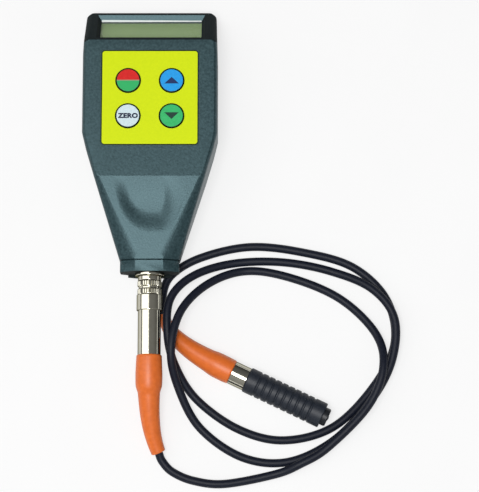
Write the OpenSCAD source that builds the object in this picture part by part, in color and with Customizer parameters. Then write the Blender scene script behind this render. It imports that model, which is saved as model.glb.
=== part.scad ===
// Coating thickness gauge: a hand-held meter lying on its back, with its probe lead plugged into the neck
// The origin is on the back face; +Y runs to the display end and +Z is the front

/* [Housing] */
// Width of the housing
body_w = 65; // [62:1:70]
// Length of the housing, from the display end to the end of the neck
body_l = 130; // [126:1:138]
// Thickness of the housing, back to front
body_t = 27; // [26:0.5:30]
// Wall of the two shells
wall = 2; // [1.6:0.1:2.4]
// Radius of the outer edges
edge_r = 2.8; // [2.6:0.1:3.4]
// Height of the seam between the shells, above the back
seam_z = 7.5; // [6.5:0.5:8]
// Length of the tapered lower part, from the crease to the neck collar
taper_l = 40.4; // [37:0.2:43]
// Length of the neck collar
collar_l = 5.4; // [4.6:0.2:6.4]
// Width of the neck
neck_w = 28.4; // [26:0.2:30]
// Thickness of the neck
neck_t = 17.5; // [16.5:0.5:18.5]
// Depth of the thumb dish below the crease
dish_depth = 1.9; // [1.4:0.1:2.2]

/* [Display] */
// Height of the end wall under the sloping display face
lip_z = 11; // [10.5:0.5:13]
// Distance from the display end to the brow where the front face starts
brow_d = 19.1; // [17:0.1:21]
// Width of the glass that shows
glass_w = 49; // [46:0.2:52]
// Slope of the frame around the glass, outwards on each side
bezel_slope = 1.7; // [1:0.1:2]
// Depth of the glass below the sloping face
bezel_depth = 2.6; // [2:0.1:3]

/* [Keys] */
// Side of the square key panel
panel_w = 46.6; // [44:0.2:48]
// Middle of the key panel, from the housing's middle towards the display
panel_y = 18.2; // [17:0.2:20]
// Thickness of the key panel
panel_t = 0.5; // [0.3:0.1:0.8]
// Diameter of a key
key_d = 11.4; // [10:0.2:12]
// Distance between the two columns of keys
key_dx = 20.9; // [20:0.1:22]
// Distance between the two rows of keys
key_dy = 17.4; // [16.5:0.1:19]
// Height of a key above the front face
key_proud = 0.7; // [0.4:0.1:1]
// Travel of a key
key_travel = 0.6; // [0.4:0.1:0.7]

/* [Battery] */
// Diameter of a cell
cell_d = 10.5; // [10:0.1:10.8]
// Length of a cell
cell_l = 44.5; // [43:0.5:46]
// Thickness of the battery cover
cover_t = 1.4; // [1.2:0.1:1.6]

/* [Plug] */
// Height of the plug's axis above the back
plug_z = 13.2; // [12.6:0.1:13.8]
// Diameter of the smooth part of the release sleeve
sleeve_d = 12.3; // [12.2:0.1:12.6]
// Diameter of the barrel behind the sleeve
barrel_d = 11; // [10.6:0.1:11.1]
// Length of the release sleeve
sleeve_l = 14; // [13:0.5:15]
// Length of barrel that shows between the sleeve and the boot
barrel_show = 21.2; // [20:0.2:23]
// Flutes around the knurled bands
flute_count = 32; // [24:1:36]
// Travel of the release sleeve
sleeve_travel = 1.5; // [1:0.1:1.8]

/* [Probe] */
// Place of the grip's rear end, to the right of the housing's middle
probe_x = 46.6; // [45:0.1:48]
// Place of the grip's rear end, along the housing
probe_y = -115.3; // [-117:0.1:-114]
// Direction of the probe, turned from +X
probe_angle = -25.6; // [-27:0.1:-24]
// Length of the ribbed grip
grip_l = 40; // [39:0.5:41]
// Diameter of the ribbed grip
grip_d = 12.4; // [12.2:0.1:12.8]
// Grooves around the grip
groove_count = 9; // [7:1:9]
// Diameter of the bright collar behind the grip
collar_d = 11.3; // [10.8:0.1:11.6]
// Length of collar that shows
collar_show = 7.9; // [7:0.1:9]
// Diameter of the sliding tip
tip_d = 8.8; // [8.4:0.1:9]
// How far the tip stands out of the grip
tip_out = 2.7; // [2.4:0.1:3.2]
// Travel of the tip
tip_travel = 2; // [1.5:0.1:2.2]

/* [Lead] */
// Diameter of the lead
lead_d = 4; // [3.6:0.1:4.1]

/* [Hidden] */

// Clearances: around moving pieces, around fixed pieces, and between turned pieces that slide
gap = 0.3;
seat = 0.1;
slide_fit = 0.08;
eps = 0.05;
ball_fn = 16;
round_fn = 48;

// Housing skeleton: centres of the balls that its rounded edges are hulled from
side_x = body_w / 2 - edge_r;
end_y = body_l / 2 - edge_r;
neck_y = -body_l / 2;
groove_y = neck_y + collar_l;
crease_y = groove_y + taper_l;
flat_sink = 0.2;
low_z = edge_r - flat_sink;
high_z = body_t - edge_r + flat_sink;
lip_ball_z = lip_z - edge_r / 2;
brow_y = body_l / 2 - brow_d;
end_narrow = 0.6;
corner_cut = 0.8;
neck_low_z = plug_z - neck_t / 2;
neck_high_z = plug_z + neck_t / 2;
neck_side_z = 3.6;
neck_flat_w = 13.8;
crease_w = 53.4;
neck_inset = 0.15;
chin_l = 1.2;
chin_inset = 0.4;
side_y = [13, 20.8];
groove_w2 = 0.35;
groove_in = 0.5;
taper_start = -0.03;
middle_pinch = 0.4;

// Thumb dish, with a thicker wall behind it
taper_a = atan2(body_t - neck_high_z, taper_l);
dish_l = 22;
dish_w = 31;
dish_y = crease_y - dish_l / 2 - 0.6;
dish_z = body_t - tan(taper_a) * (crease_y - dish_y);
dish_back = dish_depth + wall;

// Sloping display face
slope_a = atan2(high_z - lip_ball_z, end_y - brow_y);
slope_l = norm([end_y - brow_y, high_z - lip_ball_z]);
glass_y0 = 2.2;
glass_y1 = slope_l - 2.7;
glass_h = glass_y1 - glass_y0;
glass_my = (glass_y0 + glass_y1) / 2;
window_t = 1.2;
window_rim = 1.2;
frame_t = 4.6;
lcd_t = 2;
lcd_rim = 1.6;

// Case screws
boss_r = 2.6;
boss_x = side_x - 2.3;
boss_y = [0, 38];
screw_r = 1;
screw_head_r = 2.1;
screw_head_t = 1.7;
screw_seat_z = 3;
screw_l = 13;

// Front wall, key panel and keys
front_in_z = body_t - wall + flat_sink;
panel_pocket = panel_t - 0.1;
key_y = panel_y - 0.4;
key_hole_r = key_d / 2 + 0.35;
flange_r = key_d / 2 + 1.3;
flange_t = 1.1;
flange_z = front_in_z - gap - flange_t;
pad_t = 0.15;
board_t = 1.6;
board_z = flange_z - 3.4 - board_t;
pad_z = board_z + board_t + pad_t;
key_foot_z = pad_z + key_travel + eps;
board_side = 0.8;
board_w = 2 * (boss_x - boss_r - board_side);
board_y0 = crease_y + 6;
board_y1 = brow_y - 4;
chip_w = key_dx - 2 * flange_r + 5.1;
chip_t = 1.6;
dome_r = key_d / 2 + 2;
dome_top_r = dome_r - 3.5;
post_r = 2;
post_bite = 3;
post_x = board_w / 2 - 3;
post_y = [board_y0 + 3, board_y1 - 3];

// Battery bay
cell_pitch = cell_d + 0.5;
spring_h = 4.2;
plate_t = 0.4;
plate_w = cell_d - 1.3;
cell_spring_r = cell_d / 2 - 1.45;
bay_wall = 1.2;
bay_w = 4 * cell_pitch + 0.4;
bay_l = cell_l + spring_h + 2 * plate_t + 1;
bay_y0 = crease_y + 5.8;
bay_y1 = bay_y0 + bay_l;
cover_gap = 0.15;
track_z = cover_t + cover_gap + eps;
floor_z = track_z + 1.4;
cell_z = track_z + 0.4 + cell_d / 2;
bay_z = cell_z + cell_d / 2 + 0.6;
cover_w = bay_w + 2 * bay_wall - gap;
track_w = cover_w + 2 * gap;
tongue = 0.8;
tongue_z = 0.5;
tongue_t = 0.5;
cover_y0 = bay_y0 - 3;
cover_y1 = bay_y1 + bay_wall;
cover_travel = 10;
runout_y = cover_y0 - cover_travel - 3;

// Socket and plug, along -Y from the end of the neck
socket_flange_t = 1.5;
socket_flange_r = 7;
socket_nose_l = 2.3;
socket_nose_r = 5.6;
socket_r = 5;
socket_bore_r = 4;
nose_end_y = neck_y - socket_flange_t - socket_nose_l;
sleeve_y0 = nose_end_y - gap;
sleeve_y1 = sleeve_y0 - sleeve_l;
band_l = 2.4;
band_gap = 1.5;
band_r = sleeve_d / 2 - 0.35;
shaft_r = 4.6;
sleeve_step_y = sleeve_y0 - 6;
barrel_step_y = sleeve_step_y - sleeve_travel - gap;
boot_y = sleeve_y1 - barrel_show;
barrel_in_boot = 8;
plug_nose_r = socket_bore_r - slide_fit;
plug_nose_y = neck_y + 3;
insert_r = 3.1;
pin_r = 0.45;
pin_circle = 1.7;
pin_count = 4;
pin_back = groove_y + 6.5;

// Probe, along its own axis from the rear end of the grip
probe_z = grip_d / 2 + eps;
tube_r = grip_d / 2 - 1;
tube_front = grip_l - 0.8;
lip_t = 2;
tip_r = tip_d / 2;
lip_bore_r = tip_r + slide_fit;
slider_r = tip_r + 0.35;
tube_bore_r = slider_r + slide_fit;
lip_s = tube_front - lip_t;
slider_s1 = lip_s - gap;
slider_s0 = slider_s1 - 3.4;
spring_s0 = slider_s0 - 13;
tip_tail_r = 3.2;
tip_tail_l = 8;
tip_end = grip_l + tip_out;
coil_s = [slider_s0 + 1, tip_end - 1.6];
coil_r = [1.6, 2.9];
core_r = 1.5;
core_out = 0.35;
groove_s0 = 5.9;
groove_pitch = 3.45;
groove_w = 1.2;
groove_depth = 0.5;

// Lead: route from the plug's boot to the probe's boot, through its loose loops
lead_route = [
    [4.5, -150, 3.6], [6.2, -154, 2.6], [11, -159, 2], [21, -163.3, 2], [36, -165, 2], [60, -160.3, 3],
    [72, -155.5, 6], [85, -147.7, 6.9], [104, -128.5, 9.4], [111.5, -110, 10.3], [108.5, -93, 4.5],
    [92, -76, 2], [68, -65.5, 2], [46, -62.2, 2], [28, -69, 6.4], [15, -83, 12.2], [10.4, -102, 14],
    [13.7, -119, 7.6], [24, -138, 2], [44, -152, 2], [66, -154.3, 2], [88, -144, 2.2], [106, -125, 5.3],
    [116, -106, 6.6], [117.5, -86, 6.9], [107, -71.5, 5.8],
    [88, -62.5, 2], [64, -57.8, 2], [40, -58.5, 2.5], [21, -65, 6.5], [10.2, -76, 9.8], [8.4, -91, 10.9],
    [11.5, -107, 7.2],
    [22, -124, 2], [42, -138.5, 2], [64, -144, 2], [88, -137.5, 2], [107.5, -118, 2], [118, -97, 2],
    [114, -76, 2], [98, -60.3, 2],
    [74, -53, 2], [48, -50.3, 2], [24, -55.7, 2], [9.8, -64.5, 2.2], [5.8, -75, 3.1], [6.6, -83.5, 3.4]
];
lead_rings = 80;
lead_sides = 10;
lead_floor = lead_d / 2 + eps;
lead_last = len(lead_route) - 1;
boot_end_r = 3.3;
boot_rings = 14;
boot_sides = 20;

// Shapes that repeat

module balls(points, r) {
    for (p = points, s = [-1, 1])
        translate([s * p[0], p[1], p[2]])
            sphere(r, $fn = ball_fn);
}

// Bar along Y, between two places, from a profile turned about the Y axis
module turned_y(profile, z = plug_z) {
    translate([0, 0, z])
        rotate([90, 0, 0])
            rotate_extrude($fn = round_fn)
                polygon([for (p = profile) [p[0], -p[1]]]);
}

module rod_y(r, y0, y1, z = plug_z, x = 0) {
    translate([x, y0, z])
        rotate([90, 0, 0])
            cylinder(r = r, h = y0 - y1, $fn = round_fn);
}

// Children stand on the sloping face: y runs down the slope from the brow and z out of the face
module on_slope() {
    translate([0, brow_y, high_z])
        rotate([-slope_a, 0, 0])
            children();
}

// Children stand on the probe's axis, with z along it towards the tip
module on_probe() {
    translate([probe_x, probe_y, probe_z])
        rotate([0, 0, probe_angle])
            rotate([0, 90, 0])
                children();
}

module turned_probe(profile) {
    on_probe()
        rotate_extrude($fn = round_fn)
            polygon(profile);
}

module at_keys() {
    for (x = [-1, 1], y = [-1, 1])
        translate([x * key_dx / 2, key_y + y * key_dy / 2, 0])
            children();
}

module at_pins() {
    for (k = [0 : pin_count - 1])
        translate([pin_circle * cos(45 + 360 / pin_count * k), 0, pin_circle * sin(45 + 360 / pin_count * k)])
            children();
}

module block(x, y0, y1, z0, z1) {
    translate([-x / 2, y0, z0])
        cube([x, y1 - y0, z1 - z0]);
}

// Point of a smooth curve through the given points, at a share t of its length in points
function spline_at(points, t) =
    let (
        last = len(points) - 1,
        i = min(floor(t * last), last - 1),
        u = t * last - i,
        b = points[i],
        c = points[i + 1],
        a = i > 0 ? points[i - 1] : 2 * b - c,
        d = i + 2 <= last ? points[i + 2] : 2 * c - b
    )
    0.5 * (2 * b + (c - a) * u + (2 * a - 5 * b + 4 * c - d) * u * u + (3 * b - a - 3 * c + d) * u * u * u);

function above_floor(p) = [p[0], p[1], max(p[2], lead_floor)];

function bezier(p, t) =
    pow(1 - t, 3) * p[0] + 3 * t * pow(1 - t, 2) * p[1] + 3 * t * t * (1 - t) * p[2] + pow(t, 3) * p[3];

function unit(v) = v / norm(v);

// Ring of points of radius r around c, square to the direction d
function ring(c, d, r, sides) =
    let (
        u = unit(cross(d, [0, 0, 1])),
        v = cross(u, d)
    )
    [for (k = [0 : sides - 1]) c + r * (u * cos(360 * k / sides) + v * sin(360 * k / sides))];

// Closed tube through the rings, each a list of as many points
module tube_through(rings) {
    n = len(rings);
    m = len(rings[0]);
    points = [for (ring_points = rings) for (p = ring_points) p];
    walls = [
        for (i = [0 : n - 2], k = [0 : m - 1])
            for (half = [0, 1])
                half == 0
                    ? [i * m + k, i * m + (k + 1) % m, (i + 1) * m + (k + 1) % m]
                    : [i * m + k, (i + 1) * m + (k + 1) % m, (i + 1) * m + k]
    ];
    caps = [[for (k = [m - 1 : -1 : 0]) k], [for (k = [0 : m - 1]) (n - 1) * m + k]];
    polyhedron(points, concat(walls, caps));
}

// Rubber boot from one end to the lead, along a curve given by four control points
module boot(control, radii) {
    shares = [for (i = [0 : boot_rings]) i / boot_rings];
    step = 0.01;
    tube_through([
        for (t = shares)
            ring(
                bezier(control, t),
                unit(bezier(control, min(t + step, 1)) - bezier(control, max(t - step, 0))),
                lookup(t, radii),
                boot_sides
            )
    ]);
}

// Coil spring along z, from radius r0 to radius r1
module spring(r0, r1, h, turns, wire_r) {
    steps = 10 * turns;
    tube_through([
        for (i = [0 : steps])
            let (
                t = i / steps,
                a = 360 * turns * t,
                r = r0 + (r1 - r0) * t,
                c = [r * cos(a), r * sin(a), wire_r + (h - 2 * wire_r) * t],
                out = [cos(a), sin(a), 0]
            )
            [for (k = [0 : 5]) c + wire_r * (out * cos(60 * k) + [0, 0, 1] * sin(60 * k))]
    ]);
}

// Housing forms

function main_points() = [
    [side_x - end_narrow - corner_cut, end_y, low_z],
    [side_x - end_narrow, end_y - corner_cut, low_z],
    [side_x - end_narrow - corner_cut, end_y, lip_ball_z],
    [side_x - end_narrow, end_y - corner_cut, lip_ball_z + corner_cut * tan(slope_a) - 0.3],
    [side_x - 0.3, brow_y, high_z],
    [side_x, brow_y - 6, low_z],
    [side_x, brow_y - 6, high_z],
    [side_x, crease_y + side_y[1], low_z],
    [side_x, crease_y + side_y[1], high_z],
    [side_x - 1.9, crease_y + side_y[0], low_z],
    [side_x - 1.9, crease_y + side_y[0], high_z],
    [crease_w / 2 - edge_r, crease_y, low_z],
    [crease_w / 2 - edge_r, crease_y, high_z]
];

// Section of the taper at a share t from the crease to the neck, pinched in by some amount at its sides
function taper_points(t, pinch) =
    let (
        y = crease_y + (groove_y - crease_y) * t,
        side = (crease_w + (neck_w - crease_w) * t) / 2 - edge_r - pinch,
        flat = (crease_w / 2 - edge_r - 0.2) * (1 - t) + (neck_flat_w / 2 - 0.8) * t,
        top = high_z - 0.1 + (neck_high_z - edge_r - high_z) * t,
        bottom = low_z + 0.1 + (neck_low_z + edge_r - low_z) * t,
        side_top = high_z - 0.2 + (plug_z + neck_side_z - high_z) * t,
        side_bottom = low_z + 0.2 + (plug_z - neck_side_z - low_z) * t
    )
    [[flat, y, top], [flat, y, bottom], [side, y, side_top], [side, y, side_bottom]];

module taper_piece(t0, pinch0, t1, pinch1, r) {
    hull()
        balls(concat(taper_points(t0, pinch0), taper_points(t1, pinch1)), r);
}

// Eight-sided bar along the neck, from the groove for a length, set in by some amount
module neck_bar(start_y, length, inset) {
    x0 = neck_w / 2 - inset;
    x1 = neck_flat_w / 2 - inset / 3;
    z1 = neck_t / 2 - inset;
    rotate([90, 0, 0])
        translate([0, plug_z, -start_y])
            linear_extrude(length)
                polygon([
                    [x1, z1], [-x1, z1], [-x0, neck_side_z], [-x0, -neck_side_z],
                    [-x1, -z1], [x1, -z1], [x0, -neck_side_z], [x0, neck_side_z]
                ]);
}

module outer_form() {
    hull()
        balls(main_points(), edge_r);
    taper_piece(taper_start, 0, 1, 0, edge_r);
    neck_bar(groove_y, collar_l, neck_inset);
}

module inner_form() {
    hull()
        balls(main_points(), edge_r - wall);
    taper_piece(taper_start, middle_pinch, 0.97, middle_pinch, edge_r - wall);
}

module neck_groove() {
    difference() {
        block(2 * neck_w, groove_y - groove_w2, groove_y + groove_w2, 0, body_t);
        neck_bar(groove_y + 1, 2, neck_inset + groove_in);
    }
}

module display_recess() {
    on_slope() {
        translate([0, glass_my, edge_r - bezel_depth])
            linear_extrude(
                bezel_depth + eps,
                scale = [(glass_w + 2 * bezel_slope) / glass_w, (glass_h + 2 * bezel_slope) / glass_h]
            )
                square([glass_w, glass_h], center = true);
        translate([0, glass_my, edge_r - frame_t - eps])
            linear_extrude(frame_t - bezel_depth + 2 * eps)
                square([glass_w + 2 * window_rim + seat, glass_h + 2 * window_rim + seat], center = true);
    }
}

// Dish for the thumb: a lens cut by a body turned about a line across the front
module thumb_dish() {
    across_r = pow(dish_w / 2, 2) / dish_depth / 2;
    along_r = pow(dish_l / 2, 2) / dish_depth / 2;
    lift = along_r - dish_depth;
    translate([0, dish_y - lift * sin(taper_a), dish_z + lift * cos(taper_a)])
        rotate([0, 90, 0])
            rotate_extrude($fn = round_fn)
                intersection() {
                    translate([along_r - across_r, 0])
                        circle(across_r, $fn = 128);
                    translate([0, -body_w / 2])
                        square([along_r + 1, body_w]);
                }
}

module front_shell() {
    color([0.2, 0.25, 0.28])
        difference() {
            union() {
                difference() {
                    intersection() {
                        outer_form();
                        block(2 * body_w, -body_l, body_l, seam_z + seat / 2, body_t);
                    }
                    difference() {
                        inner_form();
                        translate([0, dish_y, dish_z])
                            rotate([taper_a, 0, 0])
                                block(dish_w + 6, -dish_l * 0.7, dish_l * 0.7, -dish_back, wall);
                        on_slope()
                            translate([0, glass_my, edge_r - frame_t])
                                linear_extrude(frame_t + eps)
                                    square([glass_w + 7, glass_h + 12], center = true);
                    }
                }
                for (x = [-boss_x, boss_x], y = boss_y)
                    translate([x, y, seam_z + seat / 2])
                        cylinder(r = boss_r, h = front_in_z + wall / 3 - seam_z, $fn = round_fn);
                for (x = [-post_x, post_x], y = post_y)
                    translate([x, y, board_z + board_t + eps])
                        cylinder(r = post_r, h = front_in_z + wall / 3 - board_z - board_t, $fn = round_fn);
            }
            display_recess();
            thumb_dish();
            block(panel_w + 0.3, panel_y - panel_w / 2 - 0.15, panel_y + panel_w / 2 + 0.15,
                body_t - panel_pocket, body_t + 1);
            at_keys()
                cylinder(r = key_hole_r, h = body_t + 1, $fn = round_fn);
            rod_y(socket_r + seat, groove_y + 3, neck_y - 1);
            neck_groove();
            for (x = [-boss_x, boss_x], y = boss_y)
                translate([x, y, 0])
                    cylinder(r = screw_r + eps, h = screw_seat_z + screw_l + 0.5, $fn = round_fn);
            for (x = [-post_x, post_x], y = post_y)
                translate([x, y, 0])
                    cylinder(r = 0.8 + eps, h = board_z + board_t + post_bite + 0.4, $fn = round_fn);
        }
}

module rear_shell() {
    color([0.17, 0.21, 0.24])
        difference() {
            union() {
                difference() {
                    intersection() {
                        union() {
                            outer_form();
                            neck_bar(neck_y + 1, 1 + chin_l, chin_inset);
                        }
                        block(2 * body_w, -body_l, body_l, 0, seam_z - seat / 2);
                    }
                    difference() {
                        inner_form();
                        block(track_w + 3, runout_y - 3, cover_y1 + 2.5, -1, floor_z);
                    }
                }
                block(bay_w + 2 * bay_wall, bay_y0 - bay_wall, bay_y1 + bay_wall,
                    floor_z - wall / 2, bay_z + bay_wall);
                for (x = [-boss_x, boss_x], y = boss_y)
                    translate([x, y, wall / 2])
                        cylinder(r = boss_r, h = seam_z - seat / 2 - wall / 2, $fn = round_fn);
            }
            block(track_w, runout_y, cover_y1 + gap, -1, track_z);
            block(track_w + 2 * tongue, cover_y0 - cover_travel - gap, cover_y1 + gap, tongue_z - 0.15,
                tongue_z + tongue_t + 0.15);
            block(bay_w, bay_y0, bay_y1, -1, bay_z);
            for (x = [-boss_x, boss_x], y = boss_y)
                translate([x, y, 0]) {
                    cylinder(r = screw_head_r + 0.25, h = screw_seat_z, $fn = round_fn);
                    cylinder(r = screw_r + 0.2, h = seam_z + 1, $fn = round_fn);
                }
            neck_groove();
            rod_y(socket_flange_r + gap, neck_y + gap, neck_y - 2 * chin_l);
        }
}

module battery_cover() {
    ridge_l = 1;
    color([0.16, 0.2, 0.23])
        difference() {
            union() {
                block(cover_w, cover_y0, cover_y1, eps, eps + cover_t);
                block(cover_w + 2 * tongue, cover_y0 + 4, cover_y1 - 4, tongue_z, tongue_z + tongue_t);
            }
            for (k = [0 : 4])
                translate([0, cover_y0 + 5 + 2 * ridge_l * k, 0])
                    block(16 - 2 * k, 0, ridge_l, 0, 0.4);
        }
}

module case_screws() {
    color([0.7, 0.7, 0.72])
        for (x = [-boss_x, boss_x], y = boss_y)
            translate([x, y, screw_seat_z])
                difference() {
                    union() {
                        translate([0, 0, -screw_head_t])
                            cylinder(r = screw_head_r, h = screw_head_t, $fn = round_fn);
                        cylinder(r = screw_r, h = screw_l, $fn = round_fn);
                    }
                    for (a = [0, 90])
                        rotate([0, 0, a])
                            translate([-1.3, -0.3, -screw_head_t - eps])
                                cube([2.6, 0.6, 0.9]);
                }
}

module key_panel() {
    corner = 1.8;
    color([0.85, 0.9, 0.08])
        translate([0, panel_y, body_t - panel_pocket])
            difference() {
                linear_extrude(panel_t)
                    union() {
                        for (x = [-1, 1], y = [-1, 1])
                            translate([x, y] * (panel_w / 2 - corner))
                                circle(corner, $fn = round_fn);
                        square([panel_w, panel_w - 2 * corner], center = true);
                        square([panel_w - 2 * corner, panel_w], center = true);
                    }
                translate([0, -panel_y, -1])
                    at_keys()
                        cylinder(r = key_hole_r, h = panel_t + 2, $fn = round_fn);
            }
}

// Key with a domed cap, a flange that keeps it in the housing and a foot that meets the board's contact
module key_cap(column, row) {
    cap_r = key_d / 2;
    top = body_t + key_proud;
    edge = 0.4;
    translate([column * key_dx / 2, key_y + row * key_dy / 2, 0])
        rotate_extrude($fn = round_fn)
            polygon([
                [0, key_foot_z], [2.6, key_foot_z], [2.6, flange_z], [flange_r, flange_z],
                [flange_r, flange_z + flange_t], [cap_r, flange_z + flange_t], [cap_r, top - edge],
                [cap_r - edge, top - 0.1], [cap_r * 0.5, top], [0, top]
            ]);
}

module power_key() {
    color([0.85, 0.15, 0.13])
        key_cap(-1, 1);
}

module up_key() {
    color([0.15, 0.55, 0.95])
        key_cap(1, 1);
}

module zero_key() {
    color([0.85, 0.9, 0.94])
        key_cap(-1, -1);
}

module down_key() {
    color([0.2, 0.7, 0.4])
        key_cap(1, -1);
}

module key_domes() {
    foot_z = board_z + board_t + eps;
    top_z = flange_z - eps;
    color([0.9, 0.9, 0.88])
        at_keys()
            rotate_extrude($fn = round_fn)
                polygon([
                    [dome_r - 0.8, foot_z], [dome_r, foot_z], [dome_r, foot_z + 0.6],
                    [dome_r - 0.8, foot_z + 0.7], [dome_top_r + 1, top_z], [dome_top_r, top_z],
                    [dome_top_r, top_z - 0.5], [dome_top_r + 0.6, top_z - 0.5]
                ]);
}

module key_contacts() {
    color([0.8, 0.65, 0.25])
        at_keys()
            translate([0, 0, pad_z - pad_t])
                cylinder(r = 3.2, h = pad_t, $fn = round_fn);
}

module display_window() {
    color([0.75, 0.85, 0.85, 0.5])
        on_slope()
            translate([0, glass_my, edge_r - bezel_depth - eps - window_t])
                linear_extrude(window_t)
                    square([glass_w + 2 * window_rim, glass_h + 2 * window_rim], center = true);
}

module lcd_panel() {
    color([0.5, 0.56, 0.42])
        on_slope()
            translate([0, glass_my, edge_r - frame_t - eps - lcd_t])
                linear_extrude(lcd_t)
                    square([glass_w + 2 * lcd_rim, glass_h + 2 * lcd_rim], center = true);
}

// Flat ribbon from the back of the display to the underside of the board
module lcd_ribbon() {
    ribbon_w = 30;
    ribbon_t = 0.3;
    back = edge_r - frame_t - lcd_t - 2 * eps;
    place = function (y, z) [
        brow_y + y * cos(slope_a) + z * sin(slope_a),
        high_z - y * sin(slope_a) + z * cos(slope_a)
    ];
    start = place(glass_my, back);
    near = place(glass_my, back - ribbon_t);
    turn = place(glass_y0 + 1, back);
    turn_in = place(glass_y0 + 1, back - ribbon_t);
    low = board_z - eps;
    color([0.75, 0.5, 0.2])
        rotate([90, 0, 90])
            translate([0, 0, -ribbon_w / 2])
                linear_extrude(ribbon_w)
                    polygon([
                        start, near, turn_in, [board_y1 - 0.5, low - ribbon_t],
                        [board_y1 - 6, low - ribbon_t], [board_y1 - 6, low], [board_y1 - 0.2, low], turn
                    ]);
}

module main_board() {
    color([0.1, 0.4, 0.2])
        difference() {
            block(board_w, board_y0, board_y1, board_z, board_z + board_t);
            for (x = [-post_x, post_x], y = post_y)
                translate([x, y, board_z - 1])
                    cylinder(r = 1, h = board_t + 2, $fn = round_fn);
        }
}

// Chips on the underside of the board
module board_chips() {
    color([0.08, 0.08, 0.09]) {
        translate([-chip_w / 2, key_y - chip_w / 2, board_z - eps - chip_t])
            cube([chip_w, chip_w, chip_t]);
        translate([-chip_w / 2, board_y0 + chip_w / 3, board_z - eps - chip_t])
            cube([chip_w, chip_w / 2, chip_t]);
        translate([-chip_w, board_y0 + chip_w / 2, board_z - eps - 2 * chip_t])
            cylinder(r = chip_t, h = 2 * chip_t, $fn = round_fn);
    }
}

module board_screws() {
    color([0.72, 0.72, 0.74])
        for (x = [-post_x, post_x], y = post_y)
            translate([x, y, board_z - eps]) {
                translate([0, 0, -1.2])
                    cylinder(r = 1.6, h = 1.2, $fn = round_fn);
                cylinder(r = 0.8, h = board_t + post_bite, $fn = round_fn);
            }
}

module at_cells() {
    for (k = [0 : 3])
        translate([(k - 1.5) * cell_pitch, k % 2 == 0 ? bay_y0 : bay_y1, cell_z])
            rotate([k % 2 == 0 ? -90 : 90, 0, 0])
                children();
}

module battery_cells() {
    nub = 1;
    start = plate_t + spring_h + 2 * eps;
    color([0.75, 0.72, 0.6])
        at_cells()
            translate([0, 0, start]) {
                cylinder(d = cell_d - 0.1, h = cell_l - nub, $fn = round_fn);
                cylinder(d = 3.8, h = cell_l, $fn = round_fn);
            }
}

module battery_springs() {
    color([0.8, 0.8, 0.82])
        at_cells()
            translate([0, 0, plate_t + 1.5 * eps])
                spring(cell_spring_r, cell_spring_r * 0.63, spring_h, 3, 0.35);
}

module battery_plates() {
    color([0.78, 0.78, 0.8])
        for (k = [0 : 3], y = [bay_y0 + eps / 2, bay_y1 - eps / 2 - plate_t])
            translate([(k - 1.5) * cell_pitch - plate_w / 2, y, cell_z - plate_w / 2])
                cube([plate_w, plate_t, plate_w]);
}

module socket_shell() {
    y0 = neck_y - eps;
    y1 = y0 - socket_flange_t;
    back = groove_y + 4.5;
    color([0.8, 0.8, 0.8])
        turned_y([
            [socket_bore_r, nose_end_y], [socket_nose_r - 0.4, nose_end_y],
            [socket_nose_r, nose_end_y + 0.4], [socket_nose_r, y1 + 0.3],
            [socket_flange_r - 0.5, y1], [socket_flange_r, y1 + 0.5], [socket_flange_r, y0],
            [socket_r, y0], [socket_r, back], [insert_r + 0.4, back],
            [insert_r + 0.4, plug_nose_y + 4], [socket_bore_r, plug_nose_y + 4]
        ]);
}

module socket_nut() {
    y0 = groove_y + 3;
    color([0.7, 0.62, 0.4])
        translate([0, y0, plug_z])
            rotate([90, 0, 0])
                difference() {
                    cylinder(r = 7, h = 2.2, $fn = 6);
                    translate([0, 0, -1])
                        cylinder(r = socket_r + slide_fit, h = 5, $fn = round_fn);
                }
}

module socket_insert() {
    color([0.15, 0.15, 0.16])
        difference() {
            rod_y(insert_r + 0.4 - eps, groove_y + 4.5, plug_nose_y + 4 + eps);
            translate([0, groove_y + 6, plug_z])
                at_pins()
                    rotate([90, 0, 0])
                        cylinder(r = pin_r + eps / 2, h = 20, $fn = 24);
        }
}

module socket_pins() {
    color([0.85, 0.7, 0.3])
        translate([0, pin_back, plug_z])
            at_pins()
                rotate([90, 0, 0])
                    cylinder(r = pin_r, h = pin_back - neck_y, $fn = 24);
}

// Release sleeve: two fluted bands with a groove between them, then a smooth part that runs over the barrel
module plug_sleeve() {
    r = sleeve_d / 2;
    b0 = sleeve_y0 - band_l;
    b1 = b0 - band_gap;
    b2 = b1 - band_l;
    flute_r = 0.32;
    color([0.82, 0.82, 0.82])
        difference() {
            turned_y([
                [shaft_r + slide_fit, sleeve_y0], [band_r - 0.4, sleeve_y0],
                [band_r, sleeve_y0 - 0.4], [band_r, b0], [band_r - 0.6, b0 - 0.3],
                [band_r - 0.6, b1 + 0.3], [band_r, b1], [band_r, b2],
                [r - 0.5, b2], [r, b2 - 0.5], [r, sleeve_y1 + 0.6], [r - 0.35, sleeve_y1],
                [barrel_d / 2 + slide_fit, sleeve_y1], [barrel_d / 2 + slide_fit, sleeve_step_y],
                [shaft_r + slide_fit, sleeve_step_y]
            ]);
            for (k = [0 : flute_count - 1])
                let (a = 360 / flute_count * k)
                translate([band_r * cos(a), 0, plug_z + band_r * sin(a)])
                    rotate([90, 0, 0])
                        translate([0, 0, -sleeve_y0 - 1])
                            cylinder(r = flute_r, h = sleeve_y0 + 1 - b2, $fn = 16);
        }
}

module plug_barrel() {
    r = barrel_d / 2;
    wire_r = 2.4;
    end = boot_y - barrel_in_boot;
    color([0.8, 0.8, 0.8])
        turned_y([
            [insert_r + eps, plug_nose_y], [plug_nose_r - 0.3, plug_nose_y],
            [plug_nose_r, plug_nose_y - 0.3], [plug_nose_r, sleeve_y0],
            [shaft_r, sleeve_y0 - eps], [shaft_r, barrel_step_y], [r, barrel_step_y],
            [r, end], [wire_r, end], [wire_r, sleeve_step_y], [insert_r + eps, sleeve_step_y]
        ]);
}

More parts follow.
